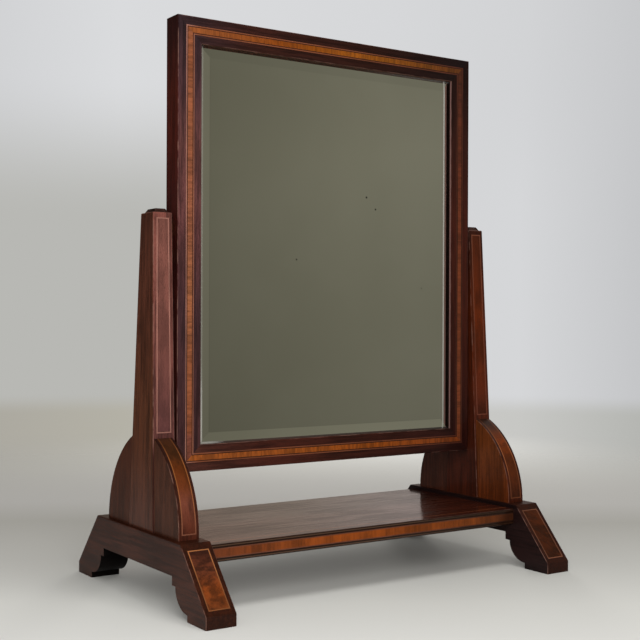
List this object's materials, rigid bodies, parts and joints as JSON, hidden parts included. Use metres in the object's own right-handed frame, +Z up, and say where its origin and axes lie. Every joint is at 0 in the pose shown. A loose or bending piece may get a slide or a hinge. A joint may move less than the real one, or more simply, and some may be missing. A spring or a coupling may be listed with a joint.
{
  "type": "dressing table mirror",
  "caption": "Swing mirror on a stand: a bevelled glass in an inlaid mahogany frame, between tapering bracketed posts on sloping feet, with an open shelf below.",
  "frame": {"origin": "on the table top, under the middle of the stand", "axes": "+X to the right of a person who looks into the glass, +Y to the back, +Z up"},
  "size_m": [0.5, 0.322, 0.6415],
  "materials": {
    "mahogany": "french polished",
    "figured_mahogany": "french polished veneer",
    "satinwood": "french polished veneer",
    "boxwood_string": "french polished",
    "dark_line": "stained black",
    "deal": "bare, toned with age",
    "beech": "bare",
    "brass": "dull, aged",
    "steel": "dull",
    "mirror_glass": "silvered glass, polished",
    "washer_leather": "plain, oiled"
  },
  "bodies": {
    "stand": {"left_bracket_panel": "figured_mahogany", "left_bracket_stringing": "boxwood_string", "left_foot": "mahogany", "left_foot_panel": "figured_mahogany", "left_foot_stringing": "boxwood_string", "left_front_bracket": "mahogany", "left_rear_bracket": "mahogany", "left_socket_plate": "brass", "left_upright": "mahogany", "left_upright_cap": "mahogany", "left_upright_panel": "figured_mahogany", "left_upright_stringing": "boxwood_string", "right_bracket_panel": "figured_mahogany", "right_bracket_stringing": "boxwood_string", "right_foot": "mahogany", "right_foot_panel": "figured_mahogany", "right_foot_stringing": "boxwood_string", "right_front_bracket": "mahogany", "right_rear_bracket": "mahogany", "right_socket_plate": "brass", "right_upright": "mahogany", "right_upright_cap": "mahogany", "right_upright_panel": "figured_mahogany", "right_upright_stringing": "boxwood_string", "shelf": "mahogany", "shelf_crossband": "satinwood", "shelf_dowels": "beech", "shelf_edge_strings": "boxwood_string", "socket_plate_screws": "brass"},
    "mirror": {"backboard": "deal", "backboard_screws": "steel", "frame_bottom_crossband": "satinwood", "frame_bottom_rail": "mahogany", "frame_inner_lines": "dark_line", "frame_inner_strings": "boxwood_string", "frame_left_crossband": "satinwood", "frame_left_stile": "mahogany", "frame_outer_lines": "dark_line", "frame_outer_strings": "boxwood_string", "frame_right_crossband": "satinwood", "frame_right_stile": "mahogany", "frame_top_crossband": "satinwood", "frame_top_rail": "mahogany", "left_friction_washer": "washer_leather", "left_pivot_pin": "steel", "left_pivot_plate": "brass", "mirror_plate": "mirror_glass", "pivot_plate_screws": "brass", "plate_blocks": "deal", "right_friction_washer": "washer_leather", "right_pivot_pin": "steel", "right_pivot_plate": "brass"}
  },
  "joints": [
    {"name": "mirror_swing", "type": "hinge", "parent": "stand", "child": "mirror", "pos_m": [0, 0, 0.392], "axis": [1, 0, 0], "continuous": true}
  ]
}
